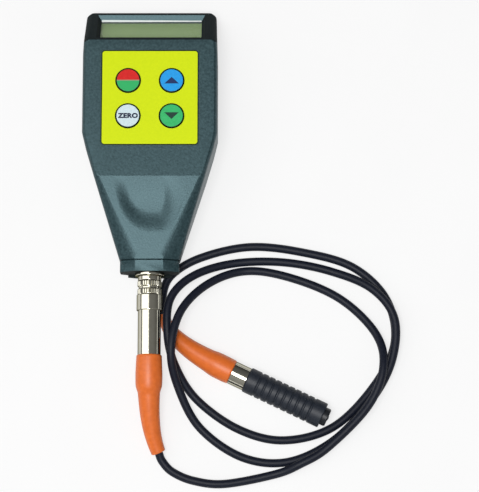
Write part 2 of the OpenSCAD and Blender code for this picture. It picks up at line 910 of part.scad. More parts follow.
module plug_insert() {
    color([0.2, 0.2, 0.21])
        difference() {
            rod_y(insert_r, plug_nose_y - 0.3, sleeve_step_y + eps);
            translate([0, plug_nose_y + 1, plug_z])
                at_pins()
                    rotate([90, 0, 0])
                        cylinder(r = pin_r + 0.15, h = 20, $fn = 24);
        }
}

module plug_contacts() {
    color([0.85, 0.7, 0.3])
        translate([0, neck_y - 0.2, plug_z])
            at_pins()
                rotate([90, 0, 0])
                    cylinder(r = pin_r + 0.1, h = neck_y - 0.2 - sleeve_step_y + 1.5, $fn = 24);
}

lead_start_d = unit(lead_route[1] - lead_route[0]);
lead_end_d = unit(lead_route[lead_last] - lead_route[lead_last - 1]);

module plug_boot() {
    y = boot_y - eps;
    color([0.92, 0.42, 0.12])
        difference() {
            boot(
                [[0, y, plug_z], [0, y - 20, plug_z], lead_route[0] - 14 * lead_start_d, lead_route[0]],
                [[0, barrel_d / 2 + 0.75], [0.14, barrel_d / 2 + 1], [0.28, barrel_d / 2 + 0.95],
                    [0.36, barrel_d / 2 - 0.2], [0.43, barrel_d / 2 - 0.6], [0.64, 4.4], [0.82, 3.8],
                    [1, boot_end_r]]
            );
            rod_y(barrel_d / 2 + eps, y + 1, boot_y - barrel_in_boot - eps);
        }
}

module probe_lead() {
    points = [for (i = [0 : lead_rings]) above_floor(spline_at(lead_route, i / lead_rings))];
    color([0.07, 0.08, 0.1])
        tube_through([
            for (i = [0 : lead_rings])
                ring(
                    points[i],
                    i == 0 ? lead_start_d
                        : i == lead_rings ? lead_end_d : unit(points[i + 1] - points[i - 1]),
                    lead_d / 2,
                    lead_sides
                )
        ]);
}

module probe_boot() {
    along = [cos(probe_angle), sin(probe_angle), 0];
    start = [probe_x, probe_y, probe_z] - along * (collar_show + eps);
    inside = 4;
    r = grip_d / 2 - 0.1;
    color([0.92, 0.42, 0.12])
        difference() {
            boot(
                [start, start - along * 16, lead_route[lead_last] + 12 * lead_end_d, lead_route[lead_last]],
                [[0, r], [0.25, r - 0.5], [0.5, r - 1.5], [0.75, 3.9], [1, boot_end_r]]
            );
            on_probe()
                translate([0, 0, -collar_show - inside - eps])
                    cylinder(r = collar_d / 2 - 0.6 + eps, h = inside + 1, $fn = round_fn);
        }
}

module probe_tube() {
    back = -collar_show - 4;
    wire_r = 2.2;
    spring_r = collar_d / 2 - 0.6;
    color([0.8, 0.8, 0.8])
        turned_probe([
            [wire_r, back], [spring_r, back], [spring_r, -collar_show],
            [collar_d / 2 - 0.3, -collar_show], [collar_d / 2, -collar_show + 0.3], [collar_d / 2, -eps],
            [tube_r, -eps], [tube_r, tube_front], [lip_bore_r, tube_front], [lip_bore_r, lip_s],
            [tube_bore_r, lip_s], [tube_bore_r, spring_s0], [wire_r, spring_s0]
        ]);
}

module probe_grip() {
    r = grip_d / 2;
    bore = tube_r + eps;
    edge = 0.5;
    color([0.08, 0.09, 0.11])
        turned_probe(concat(
            [[bore, 0], [r - edge, 0], [r, edge]],
            [
                for (k = [0 : groove_count - 1])
                    let (s = groove_s0 + groove_pitch * k)
                    each [
                        [r, s - groove_w / 2], [r - groove_depth, s - groove_w / 5],
                        [r - groove_depth, s + groove_w / 5], [r, s + groove_w / 2]
                    ]
            ],
            [[r, grip_l - edge], [r - edge, grip_l], [bore, grip_l]]
        ));
}

module probe_tip() {
    tail = slider_s0 - tip_tail_l;
    color([0.12, 0.13, 0.15])
        turned_probe([
            [0, tail], [tip_tail_r, tail], [tip_tail_r, slider_s0], [slider_r, slider_s0],
            [slider_r, slider_s1], [tip_r, slider_s1], [tip_r, tip_end - 0.5], [tip_r - 0.5, tip_end],
            [core_r + eps, tip_end], [core_r + eps, coil_s[1] + eps], [coil_r[1] + eps, coil_s[1] + eps],
            [coil_r[1] + eps, coil_s[0] - eps], [0, coil_s[0] - eps]
        ]);
}

module probe_spring() {
    wire_r = 0.35;
    color([0.75, 0.75, 0.77])
        on_probe()
            translate([0, 0, spring_s0 + eps])
                spring(tip_tail_r + 0.55, tip_tail_r + 0.55, slider_s0 - spring_s0 - 2 * eps, 6, wire_r);
}

module sensor_coil() {
    color([0.72, 0.4, 0.2])
        turned_probe([
            [coil_r[0], coil_s[0]], [coil_r[1], coil_s[0]], [coil_r[1], coil_s[1]], [coil_r[0], coil_s[1]]
        ]);
}

module sensor_core() {
    end = tip_end + core_out;
    color([0.75, 0.76, 0.78])
        turned_probe([
            [0, coil_s[0]], [core_r, coil_s[0]], [core_r, end - 0.6], [core_r * 0.8, end - 0.2],
            [core_r * 0.4, end], [0, end]
        ]);
}

front_shell();
rear_shell();
battery_cover();
case_screws();
key_panel();
power_key();
up_key();
zero_key();
down_key();
key_domes();
key_contacts();
display_window();
lcd_panel();
lcd_ribbon();
main_board();
board_chips();
board_screws();
battery_cells();
battery_springs();
battery_plates();
socket_shell();
socket_nut();
socket_insert();
socket_pins();
plug_sleeve();
plug_barrel();
plug_insert();
plug_contacts();
plug_boot();
probe_lead();
probe_boot();
probe_tube();
probe_grip();
probe_tip();
probe_spring();
sensor_coil();
sensor_core();
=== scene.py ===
import math

import bmesh
import bpy
import numpy as np
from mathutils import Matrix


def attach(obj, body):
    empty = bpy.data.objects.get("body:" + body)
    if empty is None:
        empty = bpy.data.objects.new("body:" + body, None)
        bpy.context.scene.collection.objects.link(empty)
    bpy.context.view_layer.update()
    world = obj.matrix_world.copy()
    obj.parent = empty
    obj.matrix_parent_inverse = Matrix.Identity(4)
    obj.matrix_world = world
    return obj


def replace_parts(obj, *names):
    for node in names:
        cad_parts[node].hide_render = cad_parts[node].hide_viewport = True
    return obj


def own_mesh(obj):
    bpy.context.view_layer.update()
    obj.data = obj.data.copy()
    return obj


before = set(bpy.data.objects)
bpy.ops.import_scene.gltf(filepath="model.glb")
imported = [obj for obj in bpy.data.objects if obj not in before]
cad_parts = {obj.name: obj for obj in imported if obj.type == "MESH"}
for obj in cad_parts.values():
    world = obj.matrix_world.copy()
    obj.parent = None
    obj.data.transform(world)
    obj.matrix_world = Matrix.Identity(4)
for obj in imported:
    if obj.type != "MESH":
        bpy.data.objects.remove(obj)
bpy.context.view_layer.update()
scene = bpy.context.scene
mm = 0.001


# Camera: looks down on the table from the neck's side, tipped ten degrees off the vertical,
# about a metre away, so that the case, the plug and the loops of the lead fill the picture.
eye = bpy.data.cameras.new("eye")
eye.lens = 152.5
eye.sensor_width = 36
camera = bpy.data.objects.new("eye", eye)
camera.location = (0.0430, -0.22541, 0.99831)
camera.rotation_euler = (math.radians(10), 0, 0)
scene.collection.objects.link(camera)
scene.camera = camera


# Lead: one round cable with a black rubber jacket, moulded into an orange boot at each end.
# It lies loose on the table in three loops and crosses over itself, beside the plug and the neck.
route = np.array([
    [4.5, -150, 3.6], [6.2, -154, 2.6], [11, -159, 2], [21, -163.2, 2], [36, -164.7, 2], [60, -160.2, 3],
    [72, -155.5, 6], [85, -147.7, 6.9], [104, -128.5, 9.4], [111.5, -110, 10.3], [108.5, -93, 4.5],
    [92, -76, 2], [68, -65.5, 2], [46, -62.2, 2], [28, -69, 6.4], [15, -83, 12.2], [10.4, -102, 14],
    [13.7, -119, 7.6], [24, -138, 2], [44, -152, 2], [66, -154.3, 2], [88, -144, 2.2], [106, -125, 5.3],
    [116, -106, 6.6], [117.4, -86, 6.9], [107, -71.5, 5.8],
    [88, -62.5, 2], [64, -57.8, 2], [40, -58.5, 2.5], [21, -65, 6.5], [10.2, -76, 9.8], [8.4, -91, 10.9],
    [11.5, -107, 7.2],
    [22, -124, 2], [42, -138.5, 2], [64, -144, 2], [88, -137.5, 2], [107.5, -118, 2], [117.7, -97, 2],
    [114, -76, 2], [98, -60.3, 2],
    [74, -53, 2], [48, -50.3, 2], [24, -55.7, 2], [9.8, -64.5, 2.2], [5.8, -75, 3.1], [6.6, -83.5, 3.4],
]) * mm


def spline(points, per):
    """Points of the smooth curve through the given ones: on each stretch, the cubic whose slope at
    an end is half of the step between the two neighbours of that end."""
    p = np.vstack([2 * points[0] - points[1], points, 2 * points[-1] - points[-2]])
    a, b, c, d = p[:-3], p[1:-2], p[2:-1], p[3:]
    t = (np.arange(per) / per)[:, None, None]
    q = 0.5 * (2 * b + (c - a) * t + (2 * a - 5 * b + 4 * c - d) * t**2 + (3 * b - a - 3 * c + d) * t**3)
    return np.vstack([q.transpose(1, 0, 2).reshape(-1, 3), points[-1:]])


def swept(path, radii, sides):
    """Rings around a path: a ring's point is the path's point plus the radius times the cosine of its
    angle sideways and the sine of it upwards, both square to the path."""
    along = np.gradient(path, axis=0)
    along = along / np.linalg.norm(along, axis=1, keepdims=True)
    side = np.cross(along, [0, 0, 1])
    side = side / np.linalg.norm(side, axis=1, keepdims=True)
    up = np.cross(side, along)
    angle = np.linspace(0, 2 * np.pi, sides, endpoint=False)[:, None]
    turn = side[:, None] * np.cos(angle) + up[:, None] * np.sin(angle)
    return path[:, None] + np.asarray(radii)[:, None, None] * turn


def skin(name, rows, body, material, sharp=35, loop=False):
    """Closed skin over rings of points: each point joins its neighbours on its own ring and on the next
    one. The last ring joins the first in a loop, or else the end rings are filled. The faces are turned
    so that the volume, the sum of the corners' triple products, is positive."""
    n, m = rows.shape[:2]
    i = np.arange(n if loop else n - 1)[:, None]
    k = np.arange(m)[None]
    after = (i + 1) % n
    beside = (k + 1) % m
    quads = np.stack([i * m + k, i * m + beside, after * m + beside, after * m + k], -1).reshape(-1, 4)
    points = rows.reshape(-1, 3)
    centre = points.mean(0)
    a, b, c, d = (points[quads[:, j]] - centre for j in range(4))
    volume = (np.cross(a, b) * c).sum() + (np.cross(a, c) * d).sum()
    faces = quads.tolist()
    if not loop:
        faces += [np.arange(m)[::-1].tolist(), ((n - 1) * m + np.arange(m)).tolist()]
    if volume < 0:
        faces = [f[::-1] for f in faces]
    mesh = bpy.data.meshes.new(name)
    mesh.from_pydata(points.tolist(), [], faces)
    mesh.polygons.foreach_set("use_smooth", np.ones(len(faces), bool))
    mesh.set_sharp_from_angle(angle=math.radians(sharp))
    mesh.materials.append(material)
    piece = bpy.data.objects.new(name, mesh)
    scene.collection.objects.link(piece)
    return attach(piece, body)


def surface(
    name, dark, light, rough, grain, bump=0.0, metal=0.0, shine=0.5, depth=0.02, fine=4, tint=(1, 1, 1)
):
    """Surface whose colour runs between two tones, and whose roughness varies by 15 % either way, with a
    cloudy noise in Object coordinates; grain counts its clouds in a metre. A second noise, finer by the
    number fine, gives the relief, its depth in millimetres. The tint colours the gloss."""
    material = bpy.data.materials.new(name)
    material.use_nodes = True
    nodes = material.node_tree.nodes
    link = material.node_tree.links.new
    shader = nodes["Principled BSDF"]
    place = nodes.new("ShaderNodeTexCoord")
    clouds = nodes.new("ShaderNodeTexNoise")
    clouds.inputs["Scale"].default_value = grain
    clouds.inputs["Detail"].default_value = 4
    link(place.outputs["Object"], clouds.inputs["Vector"])
    spread = nodes.new("ShaderNodeMapRange")
    spread.inputs["From Min"].default_value = 0.3
    spread.inputs["From Max"].default_value = 0.7
    link(clouds.outputs["Fac"], spread.inputs["Value"])
    tone = nodes.new("ShaderNodeMix")
    tone.data_type = "RGBA"
    tone.inputs["A"].default_value = (*dark, 1)
    tone.inputs["B"].default_value = (*light, 1)
    link(spread.outputs["Result"], tone.inputs["Factor"])
    link(tone.outputs["Result"], shader.inputs["Base Color"])
    uneven = 0.15
    gloss = nodes.new("ShaderNodeMapRange")
    gloss.inputs["To Min"].default_value = rough * (1 - uneven)
    gloss.inputs["To Max"].default_value = rough * (1 + uneven)
    link(clouds.outputs["Fac"], gloss.inputs["Value"])
    link(gloss.outputs["Result"], shader.inputs["Roughness"])
    shader.inputs["Metallic"].default_value = metal
    shader.inputs["Specular IOR Level"].default_value = shine
    shader.inputs["Specular Tint"].default_value = (*tint, 1)
    if bump:
        relief = nodes.new("ShaderNodeTexNoise")
        relief.inputs["Scale"].default_value = grain * fine
        relief.inputs["Detail"].default_value = 3
        link(place.outputs["Object"], relief.inputs["Vector"])
        height = nodes.new("ShaderNodeBump")
        height.inputs["Strength"].default_value = bump
        height.inputs["Distance"].default_value = depth * mm
        link(relief.outputs["Fac"], height.inputs["Height"])
        link(height.outputs["Normal"], shader.inputs["Normal"])
    return material


lead_radius, lead_lowest = 2.0 * mm, 2.05 * mm
lead_line = spline(route, 14)
lead_line[:, 2] = np.maximum(lead_line[:, 2], lead_lowest)
lead_black = surface(
    "lead_black", (0.004, 0.006, 0.014), (0.007, 0.010, 0.021), 0.5, 900, bump=0.15, shine=0.25
)
lead = skin("lead", swept(lead_line, np.full(len(lead_line), lead_radius), 24), "case", lead_black)
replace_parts(lead, "probe_lead")


# Case: two shells moulded in dark slate plastic with a fine spark-eroded grain, held by four screws
# from the back. The front shell has the sloping display face, the pocket of the key panel and a thumb dish.
def smooth_copy(node, body, material, sharp=35):
    """The CAD piece with its loose points joined, so that light runs evenly round its rounded edges; edges
    steeper than the angle stay sharp, and flat faces keep their own direction by their area."""
    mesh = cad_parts[node].data.copy()
    for attribute in [a for a in mesh.attributes if a.name == "custom_normal"]:
        mesh.attributes.remove(attribute)
    weld, sliver = 4e-6, 1e-6
    work = bmesh.new()
    work.from_mesh(mesh)
    bmesh.ops.remove_doubles(work, verts=work.verts, dist=weld)
    bmesh.ops.dissolve_degenerate(work, edges=work.edges, dist=sliver)
    work.to_mesh(mesh)
    work.free()
    mesh.polygons.foreach_set("use_smooth", np.ones(len(mesh.polygons), bool))
    mesh.set_sharp_from_angle(angle=math.radians(sharp))
    mesh.materials.clear()
    mesh.materials.append(material)
    piece = bpy.data.objects.new(node + "_skin", mesh)
    scene.collection.objects.link(piece)
    even = piece.modifiers.new("even", "WEIGHTED_NORMAL")
    even.keep_sharp = True
    even.weight = 60
    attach(piece, body)
    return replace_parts(piece, node)


grained = {"bump": 1.0, "shine": 0.7, "depth": 0.07, "fine": 1.3, "tint": (0.60, 0.92, 1.0)}
case_front = surface("case_front", (0.004, 0.014, 0.017), (0.028, 0.054, 0.061), 0.42, 900, **grained)
case_back = surface("case_back", (0.004, 0.012, 0.015), (0.024, 0.047, 0.053), 0.42, 900, **grained)
# The matt surface's darker colour is painted shade, for faces turned away from the light.
case_matt_shade = surface(
    "case_matt_shade", (0.007, 0.012, 0.013), (0.013, 0.020, 0.021), 0.75, 900, bump=0.3, shine=0.15
)
front_sharp = 30
front = smooth_copy("front_shell", "case", case_front, sharp=front_sharp)
rear = smooth_copy("rear_shell", "case", case_back)
smooth_copy("battery_cover", "cover", case_back)

# The thumb dish has a mesh of its own, so the hollow that the CAD has there is cut out of the taper's flat.
work = bmesh.new()
work.from_mesh(front.data)
flat = max((f for f in work.faces if f.normal.y < -0.08 and f.normal.z > 0.98), key=lambda f: f.calc_area())
normal, spot = flat.normal.copy(), flat.verts[0].co.copy()


def points_of(faces):
    """The points of the faces, each once."""
    return list(dict.fromkeys(v for f in faces for v in f.verts))


def cut(faces, point, across):
    """Cuts the faces along the plane through the point and square to the direction across."""
    edges = dict.fromkeys(e for f in faces for e in f.edges)
    parts = [*faces, *edges, *points_of(faces)]
    bmesh.ops.bisect_plane(work, geom=parts, plane_co=point, plane_no=across, dist=1e-8)


def flat_level(y):
    """Height of the flat's plane, a straight line in y."""
    return spot.z - (y - spot.y) * normal.y / normal.z


def on_flat():
    """Faces of the taper's flat."""
    level = [f for f in work.faces if f.normal.dot(normal) > 0.9999]
    return [f for f in level if abs((f.verts[0].co - spot).dot(normal)) < 2e-5]


dish_length, dish_slant = 30, 17.6 / 40.4
dish_half, dish_half_y = 23.4, -19.2
hollow_depth, flat_play = 2.4 * mm, 0.02 * mm
top_y = max(v.co.y for f in on_flat() for v in f.verts) - 0.05 * mm
low_y = top_y - dish_length * mm


def half_width(y):
    """Half the width of the flat that the dish may use, a straight line in y."""
    return (dish_half + (y / mm - dish_half_y) * dish_slant) * mm


for y in (top_y, low_y):
    cut(on_flat(), (0, y, 0), (0, 1, 0))
for s in (-1, 1):
    cut(on_flat(), (s * half_width(top_y), top_y, 0), (s, -dish_slant, 0))
inside = []
for f in work.faces:
    c = f.calc_center_median()
    in_patch = low_y < c.y < top_y and abs(c.x) < half_width(c.y)
    if in_patch and -hollow_depth < (c - spot).dot(normal) < flat_play and f.normal.dot(normal) > 0.8:
        inside.append(f)
bmesh.ops.delete(work, geom=inside, context="FACES")

# The flat runs into the bevels beside it in a soft bend, which widens from the crease to the collar.
bevel_drop, bend_grow, bend_close = 0.4626, 0.1, 2.5 * mm
border_start, border_slant = 32.89 * mm, 0.43547
crease_y, collar_y = -20.4 * mm, -59.2 * mm


def border(y):
    """Half the width of the flat up to where its plane meets the bevel's, a straight line in y."""
    return border_start + border_slant * y


def fall(x, y):
    """How far the bent surface lies under the flat's plane, the bevel's slope times a way: outside of the
    bend the way past the border, and inside of it the square of the way past its start over four times its
    half width. The half width grows with the distance from the crease and closes at the collar."""
    past = np.abs(x) - border(y)
    half = bend_grow * (crease_y - y) * np.clip((y - collar_y) / bend_close, 0, 1)
    half = np.maximum(half, 1e-7)
    bent = (np.clip(past, -half, half) + half) ** 2 / (4 * half)
    return bevel_drop * (bent + np.maximum(past - half, 0))


def under_taper(point):
    """How far a point lies under the sharp form of flat and bevels."""
    return flat_level(point.y) - bevel_drop * max(abs(point.x) - border(point.y), 0) - point.z


def on_taper():
    """Faces of the flat and the bevels."""
    play = 0.4 * mm
    found = []
    for f in work.faces:
        between = all(collar_y - mm < v.co.y < crease_y + mm for v in f.verts)
        if f.normal.z > 0.6 and between and all(abs(under_taper(v.co)) < play for v in f.verts):
            found.append(f)
    return found


for s in (-1, 1):
    for share in np.linspace(-1, 1, 13):
        slant = border_slant - bend_grow * share
        cut(on_taper(), (s * border(crease_y), crease_y, 0), (s, -slant, 0))
for share in (0, 0.24, 0.48, 0.72, 1):
    cut(on_taper(), (0, collar_y + share * bend_close, 0), (0, 1, 0))
for v in points_of(on_taper()):
    if collar_y < v.co.y < crease_y:
        v.co.z = min(v.co.z, flat_level(v.co.y) - float(fall(v.co.x, v.co.y)))

# A fine groove parts the taper from the collar.
groove_y, groove_half, groove_depth, neck_upper = -59.65 * mm, 0.3 * mm, 0.4 * mm, 14 * mm


def at_groove():
    """Upper faces of the neck that reach into the groove."""
    found = []
    for f in work.faces:
        ys = [v.co.y for v in f.verts]
        reaches = min(ys) < groove_y + groove_half and max(ys) > groove_y - groove_half
        if reaches and f.normal.z > 0.25 and min(v.co.z for v in f.verts) > neck_upper:
            found.append(f)
    return found


for shift in (-groove_half, 0, groove_half):
    cut(at_groove(), (0, groove_y + shift, 0), (0, 1, 0))
for v in points_of(at_groove()):
    if abs(v.co.y - groove_y) < 0.02 * mm:
        v.co.z -= groove_depth

# The collar's top falls like the taper.
collar_fall, fall_start, collar_upper = 0.13, -60.2 * mm, 21.5 * mm
for v in work.verts:
    if v.co.y < fall_start - 0.1 * mm and v.co.z > collar_upper:
        v.co.z -= collar_fall * (fall_start - v.co.y)

# The sloping frame of the display, the sides of its recess and the neck's end are matt, and their darker
# colour is painted shade, as they face away from the light. On the frame the matt part ends on a plane a
# little under its face.
slope = math.radians(42.24)
brow = (45.9 * mm, 24.4 * mm)
brow_depth = 1.6
matt_from = (0, brow[0] - brow_depth * mm * math.sin(slope), brow[1] - brow_depth * mm * math.cos(slope))
near_brow = [f for f in work.faces if max(v.co.y for v in f.verts) > brow[0]]
cut(near_brow, matt_from, (0, math.sin(slope), math.cos(slope)))
work.to_mesh(front.data)
work.free()
front.data.set_sharp_from_angle(angle=math.radians(front_sharp))


def faces_of(mesh):
    """Directions of a mesh's faces, and their middles in millimetres."""
    facing = np.zeros(len(mesh.polygons) * 3)
    middle = facing.copy()
    mesh.polygons.foreach_get("normal", facing)
    mesh.polygons.foreach_get("center", middle)
    return facing.reshape(-1, 3), middle.reshape(-1, 3) / mm


def paint_matt_shade(mesh, where):
    """Gives these faces the matt surface, darkened with painted shade."""
    mesh.materials.append(case_matt_shade)
    mesh.polygons.foreach_set("material_index", where.astype(np.int32))


recess_half, recess_low, frame_from = 28.5, 9, 45.6
front_neck, rear_neck, rear_end = -63, -58, -64.9
facing, middle = faces_of(front.data)
above = (middle[:, 1] - brow[0] / mm) * math.sin(slope) + (middle[:, 2] - brow[1] / mm) * math.cos(slope)
in_recess = (np.abs(middle[:, 0]) < recess_half) & (middle[:, 2] > recess_low)
recess_side = (np.abs(facing[:, 0]) > 0.6) & in_recess
on_frame = (above > -brow_depth) & (facing[:, 1] > 0.12)
neck_face = (middle[:, 1] < front_neck) & (facing[:, 1] < -0.3)
paint_matt_shade(front.data, (middle[:, 1] > frame_from) & (on_frame | recess_side) | neck_face)
facing, middle = faces_of(rear.data)
paint_matt_shade(rear.data, (middle[:, 1] < rear_neck) & (facing[:, 1] < -0.3) | (middle[:, 1] < rear_end))


def ease(share):
    """Smooth step from 0 to 1: three times the square less twice the cube."""
    share = np.clip(share, 0, 1)
    return share * share * (3 - 2 * share)


# The dish slopes down from the crease, leans to the right on its way and fades softly into the flat, its
# right wall the softest. In millimetres, v runs from the crease along the taper and u across it.
dish_depth, dish_ramp, dish_power = 1.4, 16, 2.6
dish_lean, lean_middle = 0.16, 8
left_reach, right_reach, low_reach, low_start = 16.6, 18.0, 25, 2
wall_start, wall_softer, soft_from, soft_over, side_margin = 0.58, 0.46, 3, 9, 2
v = np.linspace(0, dish_length, 121)[:, None]
y = top_y - v * mm
u = np.linspace(-1, 1, 141)[None] * half_width(y) / mm
ramp = np.sin(np.pi / 2 * np.minimum(v / dish_ramp, 1))
across = u - dish_lean * (v - lean_middle)
wide = np.where(across < 0, left_reach, right_reach)
down = np.maximum(v - low_start, 0) / low_reach
reach = ((np.abs(across) / wide) ** dish_power + down**dish_power) ** (1 / dish_power)
start = wall_start - wall_softer * ease((across - soft_from) / soft_over)
from_side = np.clip((half_width(y) / mm - np.abs(u)) / side_margin, 0, 1)
sunk = dish_depth * ramp * (1 - ease((reach - start) / (1 - start))) * from_side * mm
level = flat_level(y) - fall(u * mm, y)
grid = np.stack([u * mm, y + 0 * u, level], -1) - sunk[:, :, None] * np.array(normal)
n, m = grid.shape[:2]
i, k = np.arange(n - 1)[:, None] * m, np.arange(m - 1)[None]
quads = np.stack([i + k, i + m + k, i + m + k + 1, i + k + 1], -1).reshape(-1, 4)
mesh = bpy.data.meshes.new("thumb_dish")
mesh.from_pydata(grid.reshape(-1, 3).tolist(), [], quads.tolist())
mesh.polygons.foreach_set("use_smooth", np.ones(len(quads), bool))
mesh.materials.append(case_front)
dish = bpy.data.objects.new("thumb_dish", mesh)
scene.collection.objects.link(dish)
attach(dish, "case")


def paint(node, material):
    """The CAD piece itself, with this surface."""
    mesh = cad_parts[node].data
    mesh.materials.clear()
    mesh.materials.append(material)


screw_steel = surface("screw_steel", (0.36, 0.36, 0.37), (0.55, 0.55, 0.56), 0.35, 1200, bump=0.1, metal=1)
paint("case_screws", screw_steel)
paint("board_screws", screw_steel)


# Inside: the board hangs on four posts under the keys, the cells lie in a bay behind the cover.
# They can't be seen, and keep the CAD shapes with plain finishes of their own.
board_green = surface("board_green", (0.006, 0.09, 0.025), (0.012, 0.15, 0.04), 0.4, 700, bump=0.1)
chip_black = surface("chip_black", (0.006, 0.006, 0.007), (0.012, 0.012, 0.013), 0.55, 1500, bump=0.2)
silicone = surface("silicone", (0.55, 0.55, 0.52), (0.66, 0.66, 0.62), 0.6, 800, bump=0.1)
gold = surface("gold_contact", (0.62, 0.40, 0.08), (0.74, 0.50, 0.12), 0.28, 900, metal=1)
ribbon = surface("ribbon_amber", (0.42, 0.16, 0.02), (0.55, 0.23, 0.04), 0.35, 600)
sleeve_print = surface("cell_sleeve", (0.42, 0.38, 0.25), (0.54, 0.49, 0.34), 0.35, 300)
spring_steel = surface("spring_steel", (0.48, 0.48, 0.50), (0.62, 0.62, 0.64), 0.3, 900, metal=1)
paint("main_board", board_green)
paint("board_chips", chip_black)
paint("key_contacts", gold)
paint("lcd_ribbon", ribbon)
paint("battery_cells", sleeve_print)
paint("battery_springs", spring_steel)
paint("battery_plates", spring_steel)


# Display: a reflective glass cell, blank and olive green, behind a clear window in the deep sloping frame.
# The window is glued to the frame from behind, and the cell lies against the frame's back.
def maths(tree, kind, *values):
    """Output of a Math node of this kind, on sockets and numbers."""
    node = tree.nodes.new("ShaderNodeMath")
    node.operation = kind
    for slot_in, value in zip(node.inputs, values):
        if isinstance(value, (int, float)):
            slot_in.default_value = value
        else:
            tree.links.new(value, slot_in)
    return node.outputs["Value"]


class Place:
    """Sums on a surface's Object coordinates, each a Math node: add, times, above (1 or 0) and so on."""

    def __init__(self, material):
        self.tree = material.node_tree
        split = self.tree.nodes.new("ShaderNodeSeparateXYZ")
        source = next(n for n in self.tree.nodes if n.type == "TEX_COORD")
        self.tree.links.new(source.outputs["Object"], split.inputs["Vector"])
        self.x, self.y, self.z = (split.outputs[k] for k in "XYZ")

    def __call__(self, kind, *values):
        """One sum of this kind."""
        return maths(self.tree, kind, *values)

    def length(self, a, b):
        """Root of the sum of two squares."""
        return self("SQRT", self("ADD", self("MULTIPLY", a, a), self("MULTIPLY", b, b)))

    def ink(self, where, colour):
        """Lays the colour over the surface where the sum is 1."""
        base = self.tree.nodes["Principled BSDF"].inputs["Base Color"]
        under = base.links[0].from_socket
        mix = self.tree.nodes.new("ShaderNodeMix")
        mix.data_type = "RGBA"
        mix.inputs["B"].default_value = (*colour, 1)
        self.tree.links.new(where, mix.inputs["Factor"])
        self.tree.links.new(under, mix.inputs["A"])
        self.tree.links.new(mix.outputs["Result"], base)


lcd_edge_shade, window_alpha = 4.0 * mm, 0.08
lcd = surface("lcd_glass", (0.25, 0.41, 0.12), (0.28, 0.44, 0.135), 0.4, 60, shine=0.1)
at = Place(lcd)
level = at("MULTIPLY", at("SUBTRACT", at.y, brow[0]), math.cos(slope))
drop = at("MULTIPLY", at("SUBTRACT", at.z, brow[1]), math.sin(slope))
# A dark band along the cell's upper edge: the cell's dark border, with the frame's shadow on it painted in.
at.ink(at("LESS_THAN", at("SUBTRACT", level, drop), lcd_edge_shade), (0.05, 0.06, 0.035))
paint("lcd_panel", lcd)
clear = surface("window_clear", (0.92, 0.95, 0.94), (0.96, 0.98, 0.97), 0.03, 40)
clear.node_tree.nodes["Principled BSDF"].inputs["Alpha"].default_value = window_alpha
paint("display_window", clear)

# A near-white bead in the corner along the window's far edge, thicker at the left, is a painted highlight:
# it stands for the glass's reflection of the white surroundings.
bead_half, corner_along, corner_out = 24.4, 19.3, 0.19
bead_x = np.linspace(-bead_half, bead_half, 60)[:, None]
bead = np.interp(bead_x, [-bead_half, bead_half], [0.75, 0.4])
along = corner_along + bead * np.array([-0.8, -0.25, 0.5, 0])
out = corner_out + bead * np.array([0, 0.38, 0.8, 0])
bead_y = brow[0] + (along * math.cos(slope) + out * math.sin(slope)) * mm
bead_z = brow[1] + (out * math.cos(slope) - along * math.sin(slope)) * mm
glint_white = surface("glint_white", (0.84, 0.90, 0.88), (0.93, 0.98, 0.96), 0.35, 500)
bead_rows = np.stack([bead_x * mm + 0 * along, bead_y, bead_z], -1)
glint_bead = skin("window_glint_bead", bead_rows, "case", glint_white, sharp=60)


# Key panel: a printed yellow film in a shallow pocket of the front, with four holes for the keys.
# A thin dark line of painted shadow runs along its edge and round each hole, for the shade in the gaps to
# the pocket and the keys.
key_x, key_y, key_dy = 10.45 * mm, 17.8 * mm, 8.7 * mm
panel_y, panel_straight, edge_line, hole_line = 18.2 * mm, 21.5 * mm, 1.35 * mm, 6.2 * mm
# Colour of the painted shade in the gaps round the panel and the keys.
gap_shade = (0.012, 0.030, 0.010)
yellow = surface("panel_yellow", (0.63, 0.77, 0.004), (0.67, 0.80, 0.005), 0.5, 900, shine=0.12)
at = Place(yellow)
over_x = at("MAXIMUM", at("SUBTRACT", at("ABSOLUTE", at.x), panel_straight), 0)
over_y = at("MAXIMUM", at("SUBTRACT", at("ABSOLUTE", at("SUBTRACT", at.y, panel_y)), panel_straight), 0)
at.ink(at("GREATER_THAN", at.length(over_x, over_y), edge_line), gap_shade)
side_x = at("SUBTRACT", at("ABSOLUTE", at.x), key_x)
side_y = at("SUBTRACT", at("ABSOLUTE", at("SUBTRACT", at.y, key_y)), key_dy)
at.ink(at("LESS_THAN", at.length(side_x, side_y), hole_line), gap_shade)
paint("key_panel", yellow)


# Keys: four moulded caps, each with a flange under the front, that rubber domes press up through the panel.
# Their faces are printed: a red and green half, an arrow up, the word for setting to nought, an arrow down.
def rounded(profile, reach, steps=4):
    """Closed profile with each corner cut by a curve, the square-law blend of a point before the corner,
    the corner and a point behind it. Two more points beside the curve keep the light on the long sides
    even."""
    p = np.array(profile, float)
    curves = []
    for other in (np.roll(p, 1, 0), np.roll(p, -1, 0)):
        step = other - p
        long = np.linalg.norm(step, axis=1, keepdims=True)
        curves.append(p + step * np.minimum(0.3, reach / long))
        curves.append(p + step * np.minimum(0.45, 1.7 * reach / long))
    a, far_a, c, far_c = curves
    t = np.linspace(0, 1, steps + 1)[:, None, None]
    bend = (1 - t) ** 2 * a + 2 * t * (1 - t) * p + t**2 * c
    return np.concatenate([far_a[None], bend, far_c[None]]).transpose(1, 0, 2).reshape(-1, 2)


